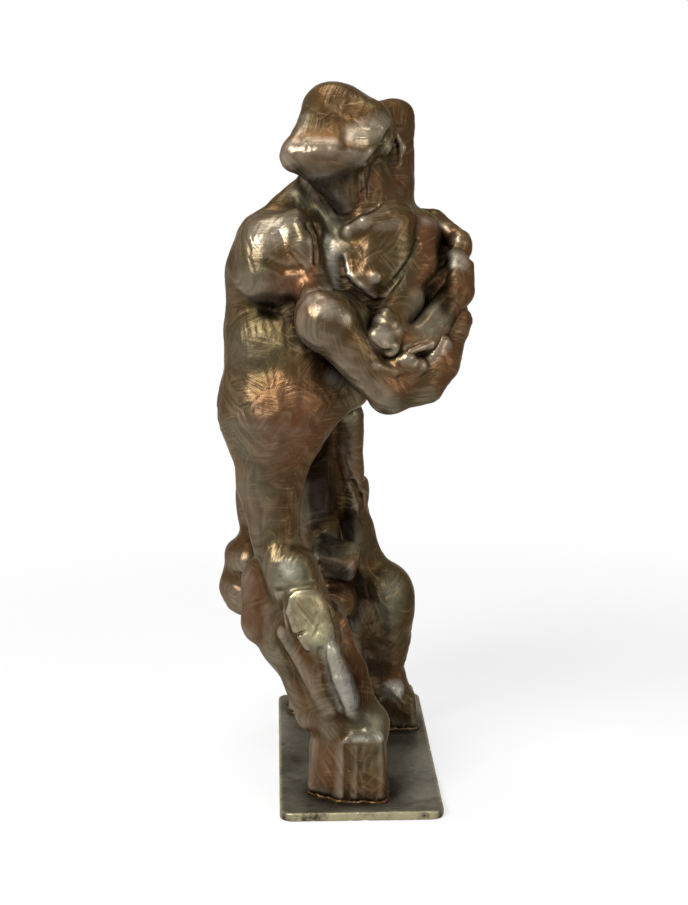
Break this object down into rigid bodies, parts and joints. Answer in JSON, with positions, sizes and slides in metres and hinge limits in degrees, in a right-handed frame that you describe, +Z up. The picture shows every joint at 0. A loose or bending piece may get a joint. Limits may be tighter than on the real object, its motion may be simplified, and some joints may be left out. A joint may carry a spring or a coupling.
{
  "type": "centaur statue",
  "caption": "Cast bronze statue of a standing centaur that folds its arms across its chest, on a rectangular bronze plate with rounded corners.",
  "frame": {"origin": "centre of the plate's underside, on the surface that the statue stands on", "axes": "+Z up; -Y towards the front of the statue, so that +X is to a viewer's right"},
  "size_m": [0.1664, 0.248, 0.4568],
  "materials": {
    "figure_bronze": "cast bronze with a dark brown waxed patina, greenish grey in the hollows and worn to gold on the ridges",
    "plate_bronze": "cast bronze plate with a grey green patina and a paler rubbed edge",
    "pin_bronze": "bronze pins filed flush and patinated with the figure",
    "screw_steel": "plain countersunk steel screws"
  },
  "bodies": {
    "root": {"base_plate": "plate_bronze", "right_foreleg": "figure_bronze", "left_foreleg": "figure_bronze", "tail": "figure_bronze", "left_hind_leg": "figure_bronze", "right_hind_leg": "figure_bronze", "hindquarters": "figure_bronze", "head": "figure_bronze", "torso": "figure_bronze", "forequarter": "figure_bronze", "left_arm": "figure_bronze", "right_arm": "figure_bronze", "knee_pin": "pin_bronze", "folded_leg_pin": "pin_bronze", "left_hind_pin": "pin_bronze", "right_hind_pin": "pin_bronze", "tail_pin": "pin_bronze", "withers_pin": "pin_bronze", "waist_pin": "pin_bronze", "neck_pin": "pin_bronze", "right_arm_dowel": "pin_bronze", "left_arm_dowel": "pin_bronze", "hoof_screw_1": "screw_steel", "hoof_screw_2": "screw_steel", "hoof_screw_3": "screw_steel", "hoof_screw_4": "screw_steel"}
  },
  "joints": []
}
